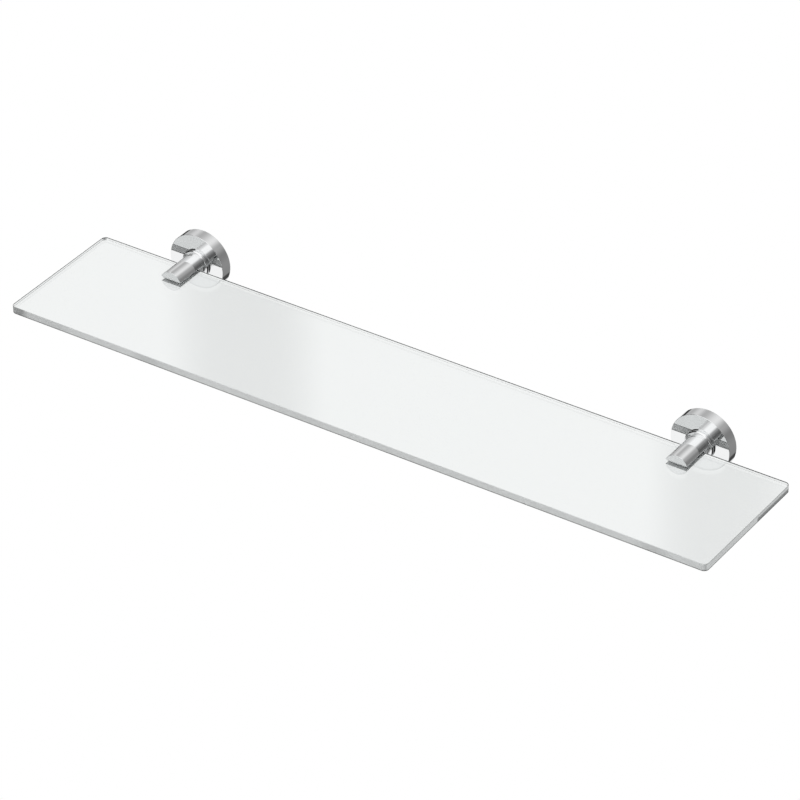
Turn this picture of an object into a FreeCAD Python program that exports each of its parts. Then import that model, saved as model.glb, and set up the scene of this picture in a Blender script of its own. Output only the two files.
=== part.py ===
import FreeCAD, Part
import math
import os

# Glass wall shelf on two slotted posts, in millimetres.
# The wall is the plane Y = 0 and the room is on its -Y side. +Z is up, and +X runs along the shelf.
# The origin is on the wall, midway between the two brackets, at the height of the posts' axis.
# "Out" in a name or a comment is a distance measured from the wall into the room.

# Glass shelf: toughened glass with rounded corners and arrised edges.
glass_length = 600.0
glass_depth = 116.4
glass_thickness = 6.0
glass_corner_radius = 4.0
glass_arris = 0.35
glass_top_above_axis = 2.5
wall_to_glass = 19.6

# Rosette cover: a turned cup, open towards the wall.
bracket_spacing = 441.0
rosette_diameter = 48.5
rosette_depth = 10.0
rosette_rim_wall = 2.2
rosette_front_wall = 2.0
rosette_chamfer = 0.4

# Collar between the rosette cover and the post.
collar_diameter = 24.0
collar_thickness = 2.7
collar_chamfer = 0.9

# Post: a turned bar with a slot for the glass.
post_diameter = 19.0
post_reach = 43.0
post_chamfer = 0.2
spigot_diameter = 12.0
spigot_set_back = 0.3
slot_back_gap = 0.3
slot_floor_gap = 0.35
slot_pad_thickness = 1.0
slot_pad_width = 16.5
slot_pad_back_margin = 0.5
slot_pad_front_margin = 0.5
slot_pad_corner = 1.0

# Wall plate: the disc inside the rosette cover, which the wall screws hold.
plate_rim_gap = 0.15
plate_front_gap = 1.5
plate_bore_gap = 1.1
plate_chamfer = 0.5
wall_screw_hole_diameter = 5.0
wall_screw_head_diameter = 8.0

# Post screw and its washer, which hold the post, the collar and the cover together from behind.
post_screw_diameter = 6.0
post_screw_head_diameter = 10.5
post_screw_head_height = 3.3
post_screw_key = 4.0
post_screw_key_depth = 1.8
post_screw_tip_gap = 1.0
post_hole_end_wall = 1.7
washer_diameter = 16.0
washer_thickness = 1.0
washer_bore_gap = 0.2

# Lock screw: the set screw in the underside of the rosette's rim.
lock_screw_diameter = 4.0
lock_screw_length = 3.0
lock_screw_bite = 1.0
lock_screw_key = 2.0
lock_screw_key_depth = 1.6
lock_pocket_side_gap = 0.15
lock_pocket_end_gap = 0.2

# Clamp screw and its nylon pad, which hold the glass from below.
clamp_screw_diameter = 5.0
clamp_screw_length = 4.0
clamp_screw_key = 2.5
clamp_screw_key_depth = 2.2
clamp_pad_thickness = 1.5
clamp_pad_side_gap = 0.08
clamp_pad_chamfer = 0.2

# Running and turned fits.
thread_gap = 0.05
turned_fit_gap = 0.05
screw_chamfer = 0.4
# How far a cutting solid runs past the face that it cuts.
overrun = 1.0

# Levels and depths that several pieces share.
post_radius = post_diameter / 2
rosette_radius = rosette_diameter / 2
rosette_bore_radius = rosette_radius - rosette_rim_wall
rosette_cavity = rosette_depth - rosette_front_wall
post_base = rosette_depth + collar_thickness
spigot_radius = spigot_diameter / 2
spigot_bore_radius = spigot_radius + turned_fit_gap
spigot_end = rosette_cavity + spigot_set_back
glass_bottom = glass_top_above_axis - glass_thickness
slot_back = wall_to_glass - slot_back_gap
slot_roof = glass_top_above_axis + slot_pad_thickness
slot_floor = glass_bottom - slot_floor_gap
plate_radius = rosette_bore_radius - plate_rim_gap
plate_thickness = rosette_cavity - plate_front_gap
plate_bore_radius = washer_diameter / 2 + plate_bore_gap
wall_screw_height = (plate_bore_radius + plate_radius) / 2
post_screw_seat = rosette_cavity - washer_thickness
post_hole_end = slot_back - post_hole_end_wall
clamp_out = (wall_to_glass + post_reach) / 2
clamp_bore_radius = clamp_screw_diameter / 2 + thread_gap
lock_out = plate_thickness / 2
lock_tip = -(plate_radius - lock_screw_bite)

wall_point = FreeCAD.Vector(0, 0, 0)
along_x = FreeCAD.Vector(1, 0, 0)
upwards = FreeCAD.Vector(0, 0, 1)
room_direction = FreeCAD.Vector(0, -1, 0)


def turned(points):
    """Turn an outline of (height, radius) points about +Z."""
    corners = [FreeCAD.Vector(radius, 0, height) for height, radius in points]
    outline = Part.makePolygon(corners + corners[:1])
    return Part.Face(outline).revolve(wall_point, upwards, 360)


def out_from_wall(shape, centre_x):
    """Lay a shape that was turned about +Z along -Y, with its base at the wall."""
    placed = shape.copy()
    placed.rotate(wall_point, along_x, 90)
    placed.translate(FreeCAD.Vector(centre_x, 0, 0))
    return placed


def upright_rod(centre_x, out, low, high, radius):
    """A vertical cylinder between two heights."""
    base = FreeCAD.Vector(centre_x, -out, low)
    return Part.makeCylinder(radius, high - low, base, upwards)


def outward_rod(centre_x, height, near, far, radius):
    """A cylinder along -Y between two distances from the wall."""
    base = FreeCAD.Vector(centre_x, -near, height)
    return Part.makeCylinder(radius, far - near, base, room_direction)


def hexagon_prism(across_flats, low, high):
    """A hexagonal key socket, as a solid about +Z."""
    corner_radius = across_flats / math.sqrt(3)
    corners = []
    for step in range(6):
        angle = math.radians(60 * step)
        corners.append(FreeCAD.Vector(corner_radius * math.cos(angle), corner_radius * math.sin(angle), low))
    outline = Part.makePolygon(corners + corners[:1])
    return Part.Face(outline).extrude(FreeCAD.Vector(0, 0, high - low))


def set_screw(diameter, length, key, key_depth):
    """A headless screw from height 0, its key end, to its tip."""
    radius = diameter / 2
    body = turned([
        (0, 0),
        (0, radius - screw_chamfer),
        (screw_chamfer, radius),
        (length - screw_chamfer, radius),
        (length, radius - screw_chamfer),
        (length, 0),
    ])
    return body.cut(hexagon_prism(key, -overrun, key_depth))


def glass_shelf():
    """The pane: rounded in plan, with a small arris along its top and bottom edges."""
    corner = FreeCAD.Vector(-glass_length / 2, -(wall_to_glass + glass_depth), glass_bottom)
    pane = Part.makeBox(glass_length, glass_depth, glass_thickness, corner)
    uprights = [edge for edge in pane.Edges if abs(edge.tangentAt(edge.FirstParameter).z) > 0.5]
    pane = pane.makeFillet(glass_corner_radius, uprights)
    rims = []
    for edge in pane.Edges:
        box = edge.BoundBox
        if box.ZMax - box.ZMin < glass_thickness / 2:
            rims.append(edge)
    return pane.makeChamfer(glass_arris, rims)


def rosette_cover(centre_x):
    """The cup, with a bore for the post's spigot and a tapped hole in the underside of its rim."""
    cup = turned([
        (0, rosette_bore_radius),
        (0, rosette_radius),
        (rosette_depth - rosette_chamfer, rosette_radius),
        (rosette_depth, rosette_radius - rosette_chamfer),
        (rosette_depth, spigot_bore_radius),
        (rosette_cavity, spigot_bore_radius),
        (rosette_cavity, rosette_bore_radius),
    ])
    lock_hole = upright_rod(
        centre_x,
        lock_out,
        -(rosette_radius + overrun),
        -(rosette_bore_radius - overrun),
        lock_screw_diameter / 2 + thread_gap,
    )
    return out_from_wall(cup, centre_x).cut(lock_hole)


def wall_plate(centre_x):
    """The disc on the wall: a centre bore, two countersunk screw holes and a pocket for the lock screw."""
    disc = turned([
        (0, plate_bore_radius),
        (0, plate_radius),
        (plate_thickness - plate_chamfer, plate_radius),
        (plate_thickness, plate_radius - plate_chamfer),
        (plate_thickness, plate_bore_radius),
    ])
    plate = out_from_wall(disc, centre_x)
    hole_radius = wall_screw_hole_diameter / 2
    head_radius = wall_screw_head_diameter / 2
    sink_depth = head_radius - hole_radius
    for side in (-1, 1):
        height = side * wall_screw_height
        plate = plate.cut(outward_rod(centre_x, height, -overrun, plate_thickness + overrun, hole_radius))
        sink_base = FreeCAD.Vector(centre_x, -(plate_thickness - sink_depth), height)
        sink = Part.makeCone(hole_radius, head_radius, sink_depth, sink_base, room_direction)
        plate = plate.cut(sink)
    pocket = upright_rod(
        centre_x,
        lock_out,
        -(plate_radius + overrun),
        lock_tip + lock_pocket_end_gap,
        lock_screw_diameter / 2 + lock_pocket_side_gap,
    )
    return plate.cut(pocket)


def collar_ring(centre_x):
    """The short turned ring on the rosette's face, round the post's spigot."""
    radius = collar_diameter / 2
    ring = turned([
        (rosette_depth, spigot_bore_radius),
        (rosette_depth, radius),
        (post_base - collar_chamfer, radius),
        (post_base, radius - collar_chamfer),
        (post_base, spigot_bore_radius),
    ])
    return out_from_wall(ring, centre_x)


def post(centre_x):
    """The bar with its spigot, tapped rear hole, glass slot and clamp hole."""
    hole_radius = post_screw_diameter / 2 + thread_gap
    blank = turned([
        (spigot_end, hole_radius),
        (spigot_end, spigot_radius),
        (post_base, spigot_radius),
        (post_base, post_radius),
        (post_reach - post_chamfer, post_radius),
        (post_reach, post_radius - post_chamfer),
        (post_reach, 0),
        (post_hole_end, 0),
        (post_hole_end, hole_radius),
    ])
    bar = out_from_wall(blank, centre_x)
    half_width = post_radius + overrun
    slot = Part.makeBox(
        2 * half_width,
        post_reach + overrun - slot_back,
        slot_roof - slot_floor,
        FreeCAD.Vector(centre_x - half_width, -(post_reach + overrun), slot_floor),
    )
    clamp_bore = upright_rod(
        centre_x,
        clamp_out,
        -(post_radius + overrun),
        (slot_floor + slot_roof) / 2,
        clamp_bore_radius,
    )
    return bar.cut(slot).cut(clamp_bore)


def post_screw(centre_x):
    """The short hexagon-socket screw that enters the post from inside the rosette cover."""
    head_radius = post_screw_head_diameter / 2
    shank_radius = post_screw_diameter / 2
    head_end = post_screw_seat - post_screw_head_height
    tip = post_hole_end - post_screw_tip_gap
    screw = turned([
        (head_end, 0),
        (head_end, head_radius - screw_chamfer),
        (head_end + screw_chamfer, head_radius),
        (post_screw_seat, head_radius),
        (post_screw_seat, shank_radius),
        (tip - screw_chamfer, shank_radius),
        (tip, shank_radius - screw_chamfer),
        (tip, 0),
    ])
    socket = hexagon_prism(post_screw_key, head_end - overrun, head_end + post_screw_key_depth)
    return out_from_wall(screw.cut(socket), centre_x)


def post_washer(centre_x):
    """The flat washer under the post screw's head, against the inside of the cover."""
    bore_radius = post_screw_diameter / 2 + washer_bore_gap
    ring = turned([
        (post_screw_seat, bore_radius),
        (post_screw_seat, washer_diameter / 2),
        (rosette_cavity, washer_diameter / 2),
        (rosette_cavity, bore_radius),
    ])
    return out_from_wall(ring, centre_x)


def lock_screw(centre_x):
    """The set screw in the rim, its tip in the wall plate's pocket."""
    screw = set_screw(lock_screw_diameter, lock_screw_length, lock_screw_key, lock_screw_key_depth)
    screw.translate(FreeCAD.Vector(centre_x, -lock_out, lock_tip - lock_screw_length))
    return screw


def slot_pad(centre_x):
    """The thin clear strip between the glass and the roof of the slot."""
    near = wall_to_glass + slot_pad_back_margin
    far = post_reach - slot_pad_front_margin
    corner = FreeCAD.Vector(centre_x - slot_pad_width / 2, -far, glass_top_above_axis)
    strip = Part.makeBox(slot_pad_width, far - near, slot_pad_thickness, corner)
    uprights = [edge for edge in strip.Edges if abs(edge.tangentAt(edge.FirstParameter).z) > 0.5]
    return strip.makeFillet(slot_pad_corner, uprights)


def clamp_pad(centre_x):
    """The nylon disc that the clamp screw presses up against the glass."""
    radius = clamp_bore_radius - clamp_pad_side_gap
    disc = turned([
        (0, 0),
        (0, radius),
        (clamp_pad_thickness - clamp_pad_chamfer, radius),
        (clamp_pad_thickness, radius - clamp_pad_chamfer),
        (clamp_pad_thickness, 0),
    ])
    disc.translate(FreeCAD.Vector(centre_x, -clamp_out, glass_bottom - clamp_pad_thickness))
    return disc


def clamp_screw(centre_x):
    """The set screw in the post's lower jaw, its key socket facing down."""
    screw = set_screw(clamp_screw_diameter, clamp_screw_length, clamp_screw_key, clamp_screw_key_depth)
    top = glass_bottom - clamp_pad_thickness
    screw.translate(FreeCAD.Vector(centre_x, -clamp_out, top - clamp_screw_length))
    return screw


bracket_pieces = {
    "wall_plate": wall_plate,
    "rosette_cover": rosette_cover,
    "collar_ring": collar_ring,
    "post": post,
    "post_screw": post_screw,
    "post_washer": post_washer,
    "lock_screw": lock_screw,
    "slot_pad": slot_pad,
    "clamp_pad": clamp_pad,
    "clamp_screw": clamp_screw,
}

pieces = {"glass_shelf": glass_shelf()}
for side_name, side in (("left", -1), ("right", 1)):
    for piece_name, make_piece in bracket_pieces.items():
        pieces[side_name + "_" + piece_name] = make_piece(side * bracket_spacing / 2)

os.makedirs("parts", exist_ok=True)
for node_name, shape in pieces.items():
    shape.exportStep("parts/" + node_name + ".step")
    print(node_name, "solids", len(shape.Solids), "valid", shape.isValid(), "volume", round(shape.Volume, 2))
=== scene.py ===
import math

import bmesh
import bpy
from mathutils import Matrix, Vector


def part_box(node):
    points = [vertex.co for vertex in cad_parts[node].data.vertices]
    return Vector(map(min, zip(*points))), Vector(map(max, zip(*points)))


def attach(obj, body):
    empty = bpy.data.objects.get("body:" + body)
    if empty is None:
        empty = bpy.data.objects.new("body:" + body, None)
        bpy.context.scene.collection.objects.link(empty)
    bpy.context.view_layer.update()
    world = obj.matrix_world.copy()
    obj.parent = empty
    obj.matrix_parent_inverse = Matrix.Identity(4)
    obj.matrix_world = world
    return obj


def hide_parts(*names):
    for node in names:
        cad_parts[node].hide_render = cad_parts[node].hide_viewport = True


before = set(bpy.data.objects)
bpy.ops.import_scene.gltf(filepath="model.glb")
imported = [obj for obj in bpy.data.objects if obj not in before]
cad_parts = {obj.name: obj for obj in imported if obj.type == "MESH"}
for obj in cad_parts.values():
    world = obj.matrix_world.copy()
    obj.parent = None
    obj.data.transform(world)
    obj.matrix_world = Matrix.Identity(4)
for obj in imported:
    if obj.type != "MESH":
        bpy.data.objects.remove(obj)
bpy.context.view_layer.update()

# A glass wall shelf on two slotted chrome posts, in metres. The wall is the plane Y = 0, the room is on
# its -Y side, +X runs along the shelf and +Z is up.


# ---------------------------------------------------------------------------
# Studio: a white floor a good way below the shelf, and a ring of soft lights and dark flags around it.
# The chrome and the glass show little of their own colour, so these lights give them their tones.
# ---------------------------------------------------------------------------

class Amount:
    """A number that a node gives. Arithmetic on it adds Math nodes."""

    def __init__(self, nodes, socket):
        self.nodes = nodes
        self.socket = socket

    def output(self, name):
        """Another output of the same node."""
        return Amount(self.nodes, self.socket.node.outputs[name])

    def maths(self, operation, first, second):
        return self.nodes.add("ShaderNodeMath", {"operation": operation}, {0: first, 1: second})

    def __add__(self, other):
        return self.maths("ADD", self, other)

    def __radd__(self, other):
        return self.maths("ADD", other, self)

    def __sub__(self, other):
        return self.maths("SUBTRACT", self, other)

    def __rsub__(self, other):
        return self.maths("SUBTRACT", other, self)

    def __neg__(self):
        return self.maths("SUBTRACT", 0.0, self)

    def __mul__(self, other):
        return self.maths("MULTIPLY", self, other)

    def __rmul__(self, other):
        return self.maths("MULTIPLY", other, self)

    def __truediv__(self, other):
        return self.maths("DIVIDE", self, other)

    def step(self, start, end):
        """0 up to start, 1 from end, and a smooth rise between them."""
        return self.nodes.add("ShaderNodeMapRange", {"interpolation_type": "SMOOTHSTEP"},
                              {"Value": self, "From Min": start, "From Max": end})

    def fall(self, start, end):
        """1 up to start, 0 from end, and a smooth fall between them."""
        return 1.0 - self.step(start, end)


class Nodes:
    """The nodes of one material, or of the studio's light."""

    def __init__(self, owner):
        owner.use_nodes = True
        self.tree = owner.node_tree
        self.tree.nodes.clear()

    def add(self, kind, settings, inputs):
        """Add a node: its settings first, then the values or links of its sockets."""
        node = self.tree.nodes.new(kind)
        for name, value in settings.items():
            if name == "stops":
                ramp = node.color_ramp
                while len(ramp.elements) < len(value):
                    ramp.elements.new(0.5)
                for stop, (place, shade) in zip(ramp.elements, value):
                    stop.position = place
                    stop.color = (shade, shade, shade, 1.0)
            elif name == "ease":
                node.color_ramp.interpolation = value
            else:
                setattr(node, name, value)
        for name, value in inputs.items():
            if isinstance(value, Amount):
                self.tree.links.new(value.socket, node.inputs[name])
            else:
                node.inputs[name].default_value = value
        visible = [socket for socket in node.outputs if socket.enabled]
        return Amount(self, visible[0]) if visible else None


def ring_of_lights(nodes, turn, panels):
    """Brightness around a ring, from (angle in degrees, brightness) pairs, with soft edges."""
    stops = [((angle + 180.0) / 360.0, brightness) for angle, brightness in panels]
    ramp = nodes.add("ShaderNodeValToRGB", {"stops": stops, "ease": "EASE"}, {"Fac": turn})
    return nodes.add("ShaderNodeRGBToBW", {}, {"Color": ramp})


white = (1.0, 1.0, 1.0, 1.0)
lamp_spacing = 7.3
middle_gap = 36.4
lamp_brightness = 0.92
gap_depth = 0.85
flag_depth = 0.95
floor_size = 9.0
floor_height = -0.42

studio_world = bpy.data.worlds.new("studio")
bpy.context.scene.world = studio_world
light = Nodes(studio_world)
direction = light.add("ShaderNodeTexCoord", {}, {}).output("Generated")
direction = light.add("ShaderNodeSeparateXYZ", {}, {"Vector": direction})
to_right = direction.output("X")
to_wall = direction.output("Y")
upward = direction.output("Z")
# The angle around the Y axis: 0 is straight up, and it grows towards +X.
around = light.add("ShaderNodeMath", {"operation": "ARCTAN2"}, {0: to_right, 1: upward})
around = (around + math.pi) / (2.0 * math.pi)
wall_side = ring_of_lights(light, around, [
    (-180, 0.06), (-172, 0.83), (-125, 0.88), (-119, 0.04), (-103, 0.04), (-97, 0.52), (-84, 0.46),
    (-56, 0.70), (-32, 0.46), (14, 0.83), (44, 0.40), (76, 0.22), (112, 0.27), (152, 0.25), (162, 0.06),
    (180, 0.06)])
room_side = ring_of_lights(light, around, [
    (-180, 1.0), (-136, 0.98), (-116, 0.82), (-100, 0.62), (-80, 0.58), (-56, 0.78), (-26, 1.12),
    (12, 1.10), (40, 0.34), (58, 0.17), (74, 0.10), (88, 0.14), (100, 0.23), (140, 0.35), (170, 0.9),
    (180, 1.0)])
# Above the wall hangs a row of lamps with narrow gaps, whose places are angles to the left of the wall's
# direction, in degrees. Only the smooth faces of the glass mirror them, as faint stripes.
sideways = light.add("ShaderNodeMath", {"operation": "ARCTAN2"}, {0: -to_right, 1: to_wall})
sideways = sideways * (180.0 / math.pi)
lamp_wave = light.add("ShaderNodeMath", {"operation": "COSINE"},
                      {0: (sideways - middle_gap) * (2.0 * math.pi / lamp_spacing)})
lamps = lamp_brightness - gap_depth * lamp_wave.step(0.45, 1.0)
in_lamps = upward.step(0.44, 0.50) * upward.fall(0.62, 0.68)
in_lamps = in_lamps * sideways.step(18.0, 24.0) * sideways.fall(44.0, 50.0)
rays = light.add("ShaderNodeLightPath", {}, {})
in_lamps = in_lamps * rays.output("Is Singular Ray")
wall_side = wall_side + (lamps - wall_side) * in_lamps
# Black flags stand at both ends of the shelf, between the lights of the wall side and the room side.
left_flag = to_wall.step(-0.66, -0.60) * to_wall.fall(0.40, 0.50)
left_flag = left_flag * (-to_right).step(0.60, 0.66) * upward.step(-0.45, -0.30)
right_flag = to_wall.step(-0.67, -0.61) * to_wall.fall(0.15, 0.30)
right_flag = right_flag * to_right.step(0.35, 0.45) * upward.fall(-0.25, -0.15)
seen_in_metal = room_side + (wall_side - room_side) * to_wall.step(-0.2, 0.2)
seen_in_metal = seen_in_metal * (1.0 - flag_depth * left_flag) * (1.0 - flag_depth * right_flag)
# Through the glass the floor and the white surround show, and upwards the lamps do.
through = rays.output("Is Transmission Ray")
seen_through = 1.0 + (seen_in_metal - 1.0) * upward.step(0.05, 0.25)
mirrored = rays.output("Is Glossy Ray") * (1.0 - through)
brightness = 1.0 + (seen_in_metal - 1.0) * mirrored + (seen_through - 1.0) * through
background = light.add("ShaderNodeBackground", {}, {"Color": white, "Strength": brightness})
light.add("ShaderNodeOutputWorld", {}, {"Surface": background})

bpy.ops.object.select_all(action="DESELECT")
bpy.ops.mesh.primitive_plane_add(size=floor_size, location=(0.0, 0.0, floor_height))
studio_floor = bpy.context.active_object
studio_floor.name = "studio_floor"
floor_paint = bpy.data.materials.new("white_floor")
paint = Nodes(floor_paint)
glow = paint.add("ShaderNodeEmission", {}, {"Color": white, "Strength": 1.0})
clear = paint.add("ShaderNodeBsdfTransparent", {}, {"Color": white})
underside = paint.add("ShaderNodeNewGeometry", {}, {}).output("Backfacing")
floor_surface = paint.add("ShaderNodeMixShader", {}, {0: underside, 1: glow, 2: clear})
paint.add("ShaderNodeOutputMaterial", {}, {"Surface": floor_surface})
studio_floor.data.materials.append(floor_paint)
studio_floor.visible_glossy = False

bpy.context.scene.view_settings.view_transform = "Standard"
bpy.context.scene.cycles.max_bounces = 16
bpy.context.scene.cycles.glossy_bounces = 10
bpy.context.scene.cycles.transmission_bounces = 14


# ---------------------------------------------------------------------------
# Camera: a long lens more than three metres away, in front of the shelf and to its right, looking down
# on it. It is tilted by half a degree.
# ---------------------------------------------------------------------------

turn_to_right = math.radians(34.069)
look_down = math.radians(34.074)
tilt = math.radians(0.573)
camera_distance = 3.342838
aim_right = 0.035293
aim_up = 0.040351
film_width = 36.0
focal_length_in_frames = 5.69022875

backward = Vector((math.sin(turn_to_right) * math.cos(look_down),
                   -math.cos(turn_to_right) * math.cos(look_down), math.sin(look_down)))
level_right = Vector((math.cos(turn_to_right), math.sin(turn_to_right), 0.0))
level_up = backward.cross(level_right)
camera_right = math.cos(tilt) * level_right - math.sin(tilt) * level_up
camera_up = math.sin(tilt) * level_right + math.cos(tilt) * level_up
camera_place = backward * camera_distance - camera_right * aim_right - camera_up * aim_up
bpy.ops.object.camera_add()
camera = bpy.context.active_object
camera.matrix_world = Matrix.Translation(camera_place) @ Matrix(
    (camera_right, camera_up, backward)).transposed().to_4x4()
camera.data.sensor_width = film_width
camera.data.lens = film_width * focal_length_in_frames
camera.data.clip_start = 0.01
camera.data.clip_end = 50.0
bpy.context.scene.camera = camera


# ---------------------------------------------------------------------------
# Glass shelf: one pane of 6 mm toughened float glass with a faint green tint. Its corners are rounded,
# its edges are ground and arrised, and its rear edge stands in the slots of the two posts.
# ---------------------------------------------------------------------------

corner_radius = 0.004
arris = 0.00035
# A face is square to an axis if its normal goes more than this far along it, and an edge is sharp if its
# two faces turn by more than this, in radians.
square_on = 0.98
sharp_turn = 0.8


def open_for_editing(piece, kind):
    """Put one piece in edit mode with nothing selected, to pick its FACE or EDGE elements."""
    bpy.ops.object.select_all(action="DESELECT")
    piece.select_set(True)
    bpy.context.view_layer.objects.active = piece
    bpy.ops.object.mode_set(mode="EDIT")
    bpy.ops.mesh.select_mode(type=kind)
    bpy.ops.mesh.select_all(action="DESELECT")


def pick(piece, kind, wanted):
    """Select the faces or edges of the piece being edited that pass a test."""
    bpy.ops.mesh.select_all(action="DESELECT")
    mesh = bmesh.from_edit_mesh(piece.data)
    for element in (mesh.faces if kind == "FACE" else mesh.edges):
        if wanted(element):
            element.select_set(True)
    bmesh.update_edit_mesh(piece.data)


def is_sharp(edge):
    """Whether an edge joins two faces at a sharp turn."""
    return len(edge.link_faces) == 2 and edge.calc_face_angle() > sharp_turn


def rounded_slab(low, high, corner, corner_steps, rim, rim_steps):
    """A flat slab, left in edit mode: first its four corners are rounded, then its rims."""
    bpy.ops.object.select_all(action="DESELECT")
    bpy.ops.mesh.primitive_cube_add(size=1.0, location=(low + high) / 2)
    slab = bpy.context.active_object
    slab.scale = high - low
    bpy.ops.object.transform_apply(location=True, rotation=True, scale=True)

    def is_upright(edge):
        return abs(edge.verts[0].co.z - edge.verts[1].co.z) > (high.z - low.z) / 2

    open_for_editing(slab, "EDGE")
    pick(slab, "EDGE", is_upright)
    bpy.ops.mesh.bevel(offset=corner, segments=corner_steps, profile=0.5)
    pick(slab, "EDGE", lambda edge: is_sharp(edge) and not is_upright(edge))
    bpy.ops.mesh.bevel(offset=rim, segments=rim_steps, profile=0.5)
    return slab


def finish_piece(piece, name, smooth_up_to):
    """Close the edit, put the piece's place in its mesh, and shade it. Its shading is weighted by face
    area, so that a large flat mirrors as a flat next to its rounded edges."""
    bpy.ops.mesh.select_all(action="SELECT")
    bpy.ops.mesh.normals_make_consistent(inside=False)
    bpy.ops.object.mode_set(mode="OBJECT")
    bpy.ops.object.transform_apply(location=True, rotation=True, scale=True)
    bpy.ops.object.shade_smooth_by_angle(angle=math.radians(smooth_up_to))
    piece.modifiers.new("even_shading", "WEIGHTED_NORMAL")
    piece.modifiers["even_shading"].keep_sharp = True
    bpy.ops.object.modifier_apply(modifier="even_shading")
    piece.name = name
    piece.data.name = name


def object_place(nodes):
    """Where a point of a surface lies, in metres."""
    return nodes.add("ShaderNodeTexCoord", {}, {}).output("Object")


def noise(nodes, place, scale, detail=2.0, roughness=0.5):
    """Soft random mottling, from 0 to 1."""
    return nodes.add("ShaderNodeTexNoise", {"noise_dimensions": "3D"},
                     {"Vector": place, "Scale": scale, "Detail": detail, "Roughness": roughness})


def mix_colours(nodes, share, first, second):
    """The first colour where the share is 0, and the second where it is 1."""
    return nodes.add("ShaderNodeMix", {"data_type": "RGBA"}, {0: share, 6: first, 7: second}).output(2)


low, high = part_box("glass_shelf")
pane_low = Vector(low)
pane_high = Vector(high)
shelf_pane = rounded_slab(pane_low, pane_high, corner_radius, corner_steps=14, rim=arris, rim_steps=3)
finish_piece(shelf_pane, "shelf_pane", smooth_up_to=35.0)

clear_glass = bpy.data.materials.new("clear_float_glass")
glass = Nodes(clear_glass)
film = noise(glass, object_place(glass), 9.0, detail=3.0)
tint_and_painted_shade = mix_colours(glass, film, (0.885, 0.905, 0.900, 1.0), (0.895, 0.910, 0.908, 1.0))
# Painted shade: where the pane is seen mirrored in the chrome, its colour is painted darker than it is face
# to face.
mirrored = glass.add("ShaderNodeLightPath", {}, {}).output("Glossy Depth").step(0.4, 0.6)
mirrored = mirrored * (1.0 - glass.add("ShaderNodeNewGeometry", {}, {}).output("Backfacing"))
tint_and_painted_shade = mix_colours(glass, mirrored, tint_and_painted_shade, (0.50, 0.515, 0.515, 1.0))
glass_body = glass.add("ShaderNodeBsdfPrincipled", {}, {
    "Base Color": tint_and_painted_shade, "Roughness": 0.004 * film, "IOR": 1.52, "Transmission Weight": 1.0})
glass.add("ShaderNodeOutputMaterial", {}, {"Surface": glass_body})

# The edges are ground to a satin grey, and painted shade and highlight lie on that grey. From inside the
# pane they are clear, apart from a band along their upper part and at the corners that is painted dark as
# shade. Each zone of the edges is a distance in from the pane's own sides.
satin_edge = bpy.data.materials.new("ground_glass_edge")
edge = Nodes(satin_edge)
place = object_place(edge)
spot = edge.add("ShaderNodeSeparateXYZ", {}, {"Vector": place})
from_left = spot.output("X") - pane_low.x
from_right = pane_high.x - spot.output("X")
from_rear = pane_high.y - spot.output("Y")
from_front = spot.output("Y") - pane_low.y
from_bottom = spot.output("Z") - pane_low.z
from_top = pane_high.z - spot.output("Z")
grinding = noise(edge, place, 700.0, detail=3.0, roughness=0.6)
drift = noise(edge, place, 11.0)
lower_arris = from_bottom.fall(0.0005, 0.0013)
upper_arris = from_top.fall(0.0001, 0.0008)
left_end = from_left.fall(0.0004, 0.0032)
right_end = from_right.fall(0.0004, 0.0032)
rear = from_rear.fall(0.0004, 0.0039)
front = from_front.fall(0.0004, 0.0035)
corners = from_left.fall(0.009, 0.018) * front + (left_end + right_end) * rear
bright_front = from_front.fall(0.0005, 0.0020)
# Painted shade and highlight: the grey is painted darker at the corners, along the lower arris and towards
# the rear. Along the upper arris it is painted lighter at the front and darker elsewhere. The drift is a
# random tone.
shade = (0.85 + 0.35 * drift) * (1.0 - 0.50 * corners) * (1.0 - 0.80 * lower_arris)
shade = shade * (1.0 + upper_arris * (0.60 * bright_front - 0.35))
shade = shade * (0.78 + 0.22 * from_rear.step(0.0, 0.0014))
# Painted light and reflection: the right end is painted a little lighter, and low down near the right
# bracket a painted reflection of the bracket's dark side darkens it.
right_face = from_right.fall(0.0002, 0.0010)
far_half = from_rear.step(0.0454, 0.0474)
near_bracket = (1.0 - far_half) * from_bottom.fall(0.0025, 0.0045)
shade = shade * (1.0 + right_face * (0.26 + 0.10 * far_half - 0.78 * near_bracket))
# A mix of colours stops at 1, so the shade is divided by its peak, and the greys are that much lighter.
shade_peak = 1.6
grey = mix_colours(edge, grinding, (0.856, 0.880, 0.877, 1.0), (0.944, 0.968, 0.965, 1.0))
grey = mix_colours(edge, shade / shade_peak, (0.0, 0.0, 0.0, 1.0), grey)
texture = edge.add("ShaderNodeBump", {}, {"Strength": 0.05, "Distance": 0.00004, "Height": grinding})
edge_outside = edge.add("ShaderNodeBsdfPrincipled", {}, {
    "Base Color": grey, "Roughness": 0.28 + 0.1 * grinding, "IOR": 1.52, "Transmission Weight": 0.3,
    "Normal": texture})
clear_inside = edge.add("ShaderNodeBsdfPrincipled", {}, {
    "Base Color": (0.95, 0.96, 0.96, 1.0), "Roughness": 0.02, "IOR": 1.52, "Transmission Weight": 1.0})
painted_dark_inside = edge.add("ShaderNodeBsdfPrincipled", {}, {
    "Base Color": (0.04, 0.045, 0.045, 1.0), "Roughness": 0.6, "Specular IOR Level": 0.0})
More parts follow.
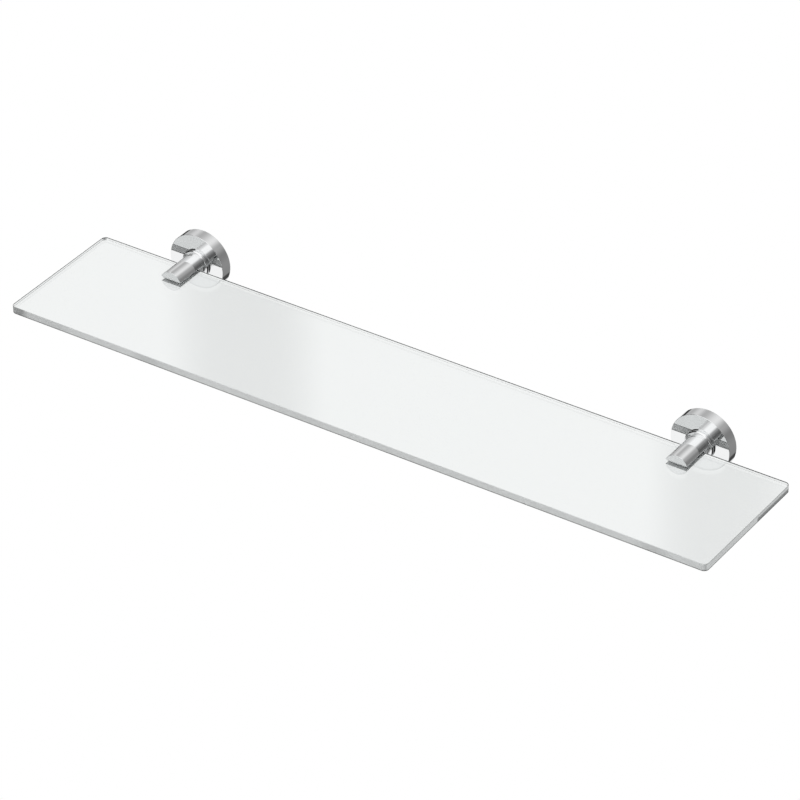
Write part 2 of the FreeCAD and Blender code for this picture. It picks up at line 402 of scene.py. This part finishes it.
# Painted shade: from inside, the upper part and the corners of the edges are a dark surface standing in for
# shade.
painted_dark_band = 0.9 * (from_bottom.step(0.0032, 0.0042) + corners)
edge_inside = edge.add("ShaderNodeMixShader", {}, {0: painted_dark_band, 1: clear_inside, 2: painted_dark_inside})
from_inside = edge.add("ShaderNodeNewGeometry", {}, {}).output("Backfacing")
edge_surface = edge.add("ShaderNodeMixShader", {}, {0: from_inside, 1: edge_outside, 2: edge_inside})
edge.add("ShaderNodeOutputMaterial", {}, {"Surface": edge_surface})

shelf_pane.data.materials.append(clear_glass)
shelf_pane.data.materials.append(satin_edge)
for face in shelf_pane.data.polygons:
    face.material_index = 0 if abs(face.normal.z) > square_on else 1
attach(shelf_pane, "glass")
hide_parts("glass_shelf")


# ---------------------------------------------------------------------------
# Rosette covers: turned brass cups, chrome-plated and polished, pushed over the wall plates.
# Each has a hole in its face for the post's spigot and a tapped hole in the underside of its rim.
# ---------------------------------------------------------------------------

rim_wall = 0.0022
face_wall = 0.0020
rosette_edge = 0.0003
spigot_hole_radius = 0.00605
spigot_hole_rear = -0.004
spigot_drill_overrun = 0.005
lock_hole_radius = 0.00205
lock_hole_y = -0.00325
lock_hole_bottom = -0.03
lock_hole_top = -0.015
rim_sides = 256
hole_sides = 96
small_hole_sides = 64
hair = 0.00002

polished_chrome = bpy.data.materials.new("polished_chrome")
chrome = Nodes(polished_chrome)
place = object_place(chrome)
haze = noise(chrome, place, 160.0, detail=4.0, roughness=0.6)
buffing = noise(chrome, place, 900.0)
tone = mix_colours(chrome, haze, (0.885, 0.892, 0.897, 1.0), (0.915, 0.920, 0.922, 1.0))
skin = chrome.add("ShaderNodeBump", {}, {"Strength": 0.02, "Distance": 0.000005, "Height": buffing})
plating = chrome.add("ShaderNodeBsdfPrincipled", {}, {
    "Base Color": tone, "Metallic": 1.0, "Roughness": 0.035 + 0.03 * haze, "Normal": skin})
chrome.add("ShaderNodeOutputMaterial", {}, {"Surface": plating})


def round_bar(radius, centre_x, start, end, sides):
    """A round bar on a bracket's axis, with flat ends at the two Y values."""
    bpy.ops.object.select_all(action="DESELECT")
    bpy.ops.mesh.primitive_cylinder_add(
        vertices=sides, radius=radius, depth=abs(end - start),
        location=(centre_x, (start + end) / 2, 0.0), rotation=(math.pi / 2, 0.0, 0.0))
    bar = bpy.context.active_object
    bpy.ops.object.transform_apply(location=True, rotation=True, scale=True)
    return bar


def upright_drill(radius, centre_x, centre_y, bottom, top):
    """A drill for an upright round hole."""
    bpy.ops.object.select_all(action="DESELECT")
    bpy.ops.mesh.primitive_cylinder_add(
        vertices=small_hole_sides, radius=radius, depth=top - bottom,
        location=(centre_x, centre_y, (top + bottom) / 2))
    drill = bpy.context.active_object
    bpy.ops.object.transform_apply(location=True, rotation=True, scale=True)
    return drill


def cut_away(piece, cutter):
    """Take a cutter out of a piece, and remove the cutter."""
    bpy.ops.object.select_all(action="DESELECT")
    piece.select_set(True)
    bpy.context.view_layer.objects.active = piece
    cut = piece.modifiers.new("cut", "BOOLEAN")
    cut.operation = "DIFFERENCE"
    cut.solver = "EXACT"
    cut.object = cutter
    bpy.ops.object.modifier_apply(modifier="cut")
    bpy.data.objects.remove(cutter, do_unlink=True)


def round_rim(piece, centre_x, radius, size):
    """Round the sharp edges that lie on a circle of this radius about the bracket's axis."""
    def on_circle(point):
        return abs(math.hypot(point.x - centre_x, point.z) - radius) < hair

    bpy.ops.mesh.select_mode(type="EDGE")
    pick(piece, "EDGE", lambda edge: is_sharp(edge)
         and on_circle(edge.verts[0].co) and on_circle(edge.verts[1].co))
    bpy.ops.mesh.bevel(offset=size, segments=3, profile=0.5)


for side in ("left", "right"):
    low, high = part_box(side + "_rosette_cover")
    centre_x = (low[0] + high[0]) / 2
    rosette_radius = (high[0] - low[0]) / 2
    rosette_front = low[1]
    cover = round_bar(rosette_radius, centre_x, 0.0, rosette_front, rim_sides)
    open_for_editing(cover, "FACE")
    pick(cover, "FACE", lambda face: face.normal.y > square_on)
    bpy.ops.mesh.inset(thickness=rim_wall)
    bpy.ops.mesh.extrude_region_move(
        TRANSFORM_OT_translate={"value": (0.0, rosette_front + face_wall, 0.0)})
    round_rim(cover, centre_x, rosette_radius, rosette_edge)
    bpy.ops.object.mode_set(mode="OBJECT")
    cut_away(cover, round_bar(spigot_hole_radius, centre_x, rosette_front - spigot_drill_overrun,
                              spigot_hole_rear, hole_sides))
    cut_away(cover, upright_drill(lock_hole_radius, centre_x, lock_hole_y, lock_hole_bottom,
                                  lock_hole_top))
    open_for_editing(cover, "EDGE")
    finish_piece(cover, side + "_rosette", smooth_up_to=40.0)
    cover.data.materials.append(polished_chrome)
    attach(cover, "wall_brackets")
    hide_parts(side + "_rosette_cover")


# ---------------------------------------------------------------------------
# Collar rings: short chrome-plated rings between the rosettes' faces and the posts. The spigot of each
# post goes through them.
# ---------------------------------------------------------------------------

collar_edge = 0.0015

for side in ("left", "right"):
    low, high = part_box(side + "_collar_ring")
    centre_x = (low[0] + high[0]) / 2
    collar_radius = (high[0] - low[0]) / 2
    collar = round_bar(collar_radius, centre_x, high[1], low[1], rim_sides)
    open_for_editing(collar, "FACE")
    pick(collar, "FACE", lambda face: abs(face.normal.y) > square_on)
    bpy.ops.mesh.inset(thickness=collar_radius - spigot_hole_radius)
    bpy.ops.mesh.bridge_edge_loops()
    round_rim(collar, centre_x, collar_radius, collar_edge)
    finish_piece(collar, side + "_collar", smooth_up_to=40.0)
    collar.data.materials.append(polished_chrome)
    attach(collar, "wall_brackets")
    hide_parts(side + "_collar_ring")


# ---------------------------------------------------------------------------
# Posts: brass bars turned with a spigot at the wall end, drilled and tapped from behind, slotted for the
# glass and tapped from below for the clamp screw, then chrome-plated. An M6 screw holds each at its spigot.
# ---------------------------------------------------------------------------

spigot_radius = 0.006
rear_hole_radius = 0.00305
rear_hole_end = -0.0176
slot_back = -0.0193
slot_roof = 0.0035
slot_floor = -0.00385
slot_mill_width = 0.03
slot_mill_length = 0.04
clamp_hole_radius = 0.00255
clamp_hole_y = -0.0313
clamp_hole_bottom = -0.02
clamp_hole_top = 0.0
post_edge = 0.0002

# Inside the slots the plating is thin and satin, as it can't be polished there.
satin_plating = bpy.data.materials.new("satin_plating")
satin = Nodes(satin_plating)
milling = noise(satin, object_place(satin), 600.0, detail=3.0)
tone = mix_colours(satin, milling, (0.90, 0.905, 0.91, 1.0), (0.95, 0.955, 0.96, 1.0))
plating = satin.add("ShaderNodeBsdfPrincipled", {}, {
    "Base Color": tone, "Metallic": 0.05, "Roughness": 0.45 + 0.1 * milling})
satin.add("ShaderNodeOutputMaterial", {}, {"Surface": plating})

for side in ("left", "right"):
    low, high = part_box(side + "_post")
    centre_x = (low[0] + high[0]) / 2
    post_radius = (high[0] - low[0]) / 2
    post_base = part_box(side + "_collar_ring")[0][1]
    post = round_bar(post_radius, centre_x, post_base, low[1], rim_sides)
    open_for_editing(post, "FACE")
    pick(post, "FACE", lambda face: face.normal.y > square_on)
    bpy.ops.mesh.inset(thickness=post_radius - spigot_radius)
    bpy.ops.mesh.extrude_region_move(
        TRANSFORM_OT_translate={"value": (0.0, high[1] - post_base, 0.0)})
    bpy.ops.mesh.inset(thickness=spigot_radius - rear_hole_radius)
    bpy.ops.mesh.extrude_region_move(
        TRANSFORM_OT_translate={"value": (0.0, rear_hole_end - high[1], 0.0)})
    round_rim(post, centre_x, post_radius, post_edge)
    bpy.ops.object.mode_set(mode="OBJECT")
    cut_away(post, upright_drill(clamp_hole_radius, centre_x, clamp_hole_y, clamp_hole_bottom,
                                 clamp_hole_top))
    bpy.ops.object.select_all(action="DESELECT")
    bpy.ops.mesh.primitive_cube_add(size=1.0)
    slot_mill = bpy.context.active_object
    slot_mill.scale = (slot_mill_width, slot_mill_length, slot_roof - slot_floor)
    slot_mill.location = (centre_x, slot_back - slot_mill_length / 2, (slot_roof + slot_floor) / 2)
    bpy.ops.object.transform_apply(location=True, rotation=True, scale=True)
    cut_away(post, slot_mill)
    open_for_editing(post, "EDGE")
    finish_piece(post, side + "_slotted_post", smooth_up_to=40.0)
    post.data.materials.append(polished_chrome)
    post.data.materials.append(satin_plating)
    for face in post.data.polygons:
        in_slot = slot_floor - hair < face.center.z < slot_roof + hair
        is_back = abs(face.center.y - slot_back) < hair
        is_roof_or_floor = face.center.y < slot_back and abs(face.normal.z) > square_on
        face.material_index = 1 if in_slot and (is_back or is_roof_or_floor) else 0
    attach(post, "wall_brackets")
    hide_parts(side + "_post")


# ---------------------------------------------------------------------------
# Wall plates: steel discs with two countersunk holes, zinc-plated to a satin grey with a faint bloom.
# They are screwed to the wall inside the rosette covers.
# ---------------------------------------------------------------------------

def dress(node, material):
    """Give a finish to a piece that keeps the shape of its design."""
    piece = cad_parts[node]
    piece.data.materials.clear()
    piece.data.materials.append(material)


zinc_plate = bpy.data.materials.new("zinc_plated_steel")
zinc = Nodes(zinc_plate)
place = object_place(zinc)
bloom = zinc.add("ShaderNodeTexVoronoi", {"feature": "F1"}, {"Vector": place, "Scale": 260.0})
cloud = noise(zinc, place, 120.0, detail=5.0, roughness=0.6)
fine = noise(zinc, place, 1800.0)
tone = mix_colours(zinc, 0.6 * cloud + 0.4 * bloom, (0.50, 0.51, 0.53, 1.0), (0.66, 0.66, 0.63, 1.0))
grit = zinc.add("ShaderNodeBump", {}, {"Strength": 0.2, "Distance": 0.00005, "Height": fine})
plating = zinc.add("ShaderNodeBsdfPrincipled", {}, {
    "Base Color": tone, "Metallic": 0.95, "Roughness": 0.3 + 0.15 * cloud, "Normal": grit})
zinc.add("ShaderNodeOutputMaterial", {}, {"Surface": plating})
for side in ("left", "right"):
    dress(side + "_wall_plate", zinc_plate)


# ---------------------------------------------------------------------------
# Screws and washers: stainless steel with a fine turned finish. Hexagon-socket set screws lock the covers
# and clamp the glass, and M6 socket screws with washers hold the posts from behind.
# ---------------------------------------------------------------------------

turned_steel = bpy.data.materials.new("turned_steel")
steel = Nodes(turned_steel)
grain = noise(steel, object_place(steel), 700.0, detail=4.0, roughness=0.6)
tone = mix_colours(steel, grain, (0.46, 0.47, 0.48, 1.0), (0.62, 0.62, 0.62, 1.0))
marks = steel.add("ShaderNodeBump", {}, {"Strength": 0.15, "Distance": 0.00003, "Height": grain})
metal = steel.add("ShaderNodeBsdfPrincipled", {}, {
    "Base Color": tone, "Metallic": 1.0, "Roughness": 0.22 + 0.12 * grain, "Normal": marks})
steel.add("ShaderNodeOutputMaterial", {}, {"Surface": metal})
for side in ("left", "right"):
    for screw in ("_post_screw", "_post_washer", "_lock_screw", "_clamp_screw"):
        dress(side + screw, turned_steel)


# ---------------------------------------------------------------------------
# Slot pads: strips of soft milky vinyl between the glass and the roof of each slot. Their backs are
# self-adhesive, so they stay on the posts when the glass slides out.
# ---------------------------------------------------------------------------

pad_corner = 0.001
pad_rim = 0.00015
pad_clearance = Vector((0.0, 0.0, 0.00003))

milky_vinyl = bpy.data.materials.new("milky_vinyl")
vinyl = Nodes(milky_vinyl)
clouding = noise(vinyl, object_place(vinyl), 300.0, detail=3.0)
tone = mix_colours(vinyl, clouding, (0.86, 0.88, 0.88, 1.0), (0.94, 0.95, 0.95, 1.0))
body = vinyl.add("ShaderNodeBsdfPrincipled", {}, {
    "Base Color": tone, "Roughness": 0.3 + 0.15 * clouding, "IOR": 1.5, "Transmission Weight": 0.25})
vinyl.add("ShaderNodeOutputMaterial", {}, {"Surface": body})
for side in ("left", "right"):
    low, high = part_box(side + "_slot_pad")
    strip = rounded_slab(Vector(low) + pad_clearance, Vector(high) - pad_clearance, pad_corner,
                         corner_steps=6, rim=pad_rim, rim_steps=2)
    finish_piece(strip, side + "_slot_strip", smooth_up_to=40.0)
    strip.data.materials.append(milky_vinyl)
    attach(strip, "wall_brackets")
    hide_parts(side + "_slot_pad")


# ---------------------------------------------------------------------------
# Clamp pads: turned discs of white nylon on the tips of the clamp screws, in the posts' lower jaws. The
# screws press them on the glass from below.
# ---------------------------------------------------------------------------

white_nylon = bpy.data.materials.new("white_nylon")
nylon = Nodes(white_nylon)
mottle = noise(nylon, object_place(nylon), 500.0, detail=3.0)
tone = mix_colours(nylon, mottle, (0.78, 0.78, 0.74, 1.0), (0.86, 0.86, 0.82, 1.0))
grit = nylon.add("ShaderNodeBump", {}, {"Strength": 0.1, "Distance": 0.00003, "Height": mottle})
body = nylon.add("ShaderNodeBsdfPrincipled", {}, {
    "Base Color": tone, "Roughness": 0.45 + 0.1 * mottle, "Subsurface Weight": 0.1,
    "Subsurface Radius": (0.002, 0.002, 0.002), "Normal": grit})
nylon.add("ShaderNodeOutputMaterial", {}, {"Surface": body})
for side in ("left", "right"):
    dress(side + "_clamp_pad", white_nylon)


# ---------------------------------------------------------------------------
# Last: the view layer is brought up to date.
# ---------------------------------------------------------------------------

bpy.context.view_layer.update()
